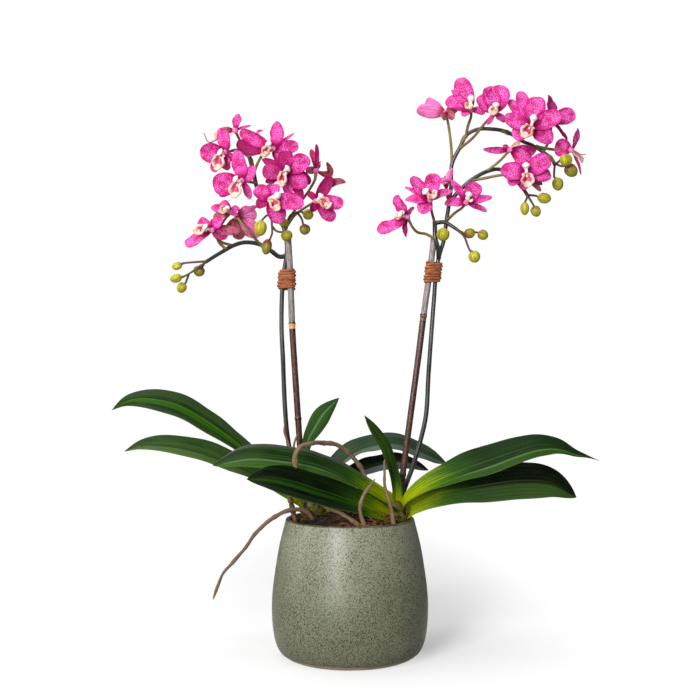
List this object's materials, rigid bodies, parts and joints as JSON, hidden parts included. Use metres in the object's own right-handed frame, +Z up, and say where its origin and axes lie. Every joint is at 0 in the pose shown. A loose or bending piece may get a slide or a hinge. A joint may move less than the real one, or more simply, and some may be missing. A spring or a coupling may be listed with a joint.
{
  "type": "potted orchid",
  "caption": "Potted miniature moth orchid: magenta blooms and buds on arching, staked spikes above strap leaves and aerial roots, in a rounded speckled stoneware pot.",
  "frame": {"origin": "middle of the pot's underside, on the surface that it stands on", "axes": "+Z up, viewer at -Y, +X to the viewer's right"},
  "size_m": [0.4093, 0.1694, 0.48],
  "materials": {
    "glaze": "satin sage-grey stoneware glaze with fine dark speckle, bare tan clay at the foot",
    "coir": "matt tangle of red-brown coconut fibre with bits of moss",
    "leaf": "satin dark green with fine grooves along the leaf, yellow-green towards the base",
    "crown": "satin yellow-green leaf sheaths with young dark green leaves",
    "root": "matt grey-brown bark-like skin",
    "bamboo": "satin dark red-brown cane with paler nodes",
    "raffia": "wound copper-brown raffia",
    "stem": "satin dark grey-green stems, olive stalks and yellow-green ribbed buds",
    "petal": "soft matt magenta with fine paler network and veins",
    "lip": "waxy white column over a cream and pink lip"
  },
  "bodies": {
    "root": {"pot": "glaze", "coir_fill": "coir", "crown_left": "crown", "crown_right": "crown", "leaf_back_arch": "leaf", "leaf_back_low": "leaf", "leaf_front_lower": "leaf", "leaf_front_upper": "leaf", "leaf_left_long": "leaf", "leaf_left_low": "leaf", "leaf_right_lower": "leaf", "leaf_right_upper": "leaf", "root_forked": "root", "root_hanging": "root", "root_loop": "root", "root_upright": "root", "stake_left": "bamboo", "stake_right": "bamboo", "tie_left": "raffia", "tie_right": "raffia", "spike_left": "stem", "spike_right": "stem", "bloom_left_1": "petal", "bloom_left_2": "petal", "bloom_left_3": "petal", "bloom_left_4": "petal", "bloom_left_5": "petal", "bloom_left_6": "petal", "bloom_left_7": "petal", "bloom_left_8": "petal", "bloom_left_9": "petal", "bloom_left_10": "petal", "bloom_left_11": "petal", "bloom_right_1": "petal", "bloom_right_2": "petal", "bloom_right_3": "petal", "bloom_right_4": "petal", "bloom_right_5": "petal", "bloom_right_6": "petal", "bloom_right_7": "petal", "bloom_right_8": "petal", "bloom_right_9": "petal", "bloom_right_10": "petal", "bloom_right_11": "petal", "bloom_right_12": "petal", "lip_left_2": "lip", "lip_left_3": "lip", "lip_left_4": "lip", "lip_left_5": "lip", "lip_left_6": "lip", "lip_left_8": "lip", "lip_left_9": "lip", "lip_left_10": "lip", "lip_right_2": "lip", "lip_right_3": "lip", "lip_right_4": "lip", "lip_right_7": "lip", "lip_right_9": "lip", "lip_right_10": "lip", "lip_right_11": "lip"}
  },
  "joints": []
}
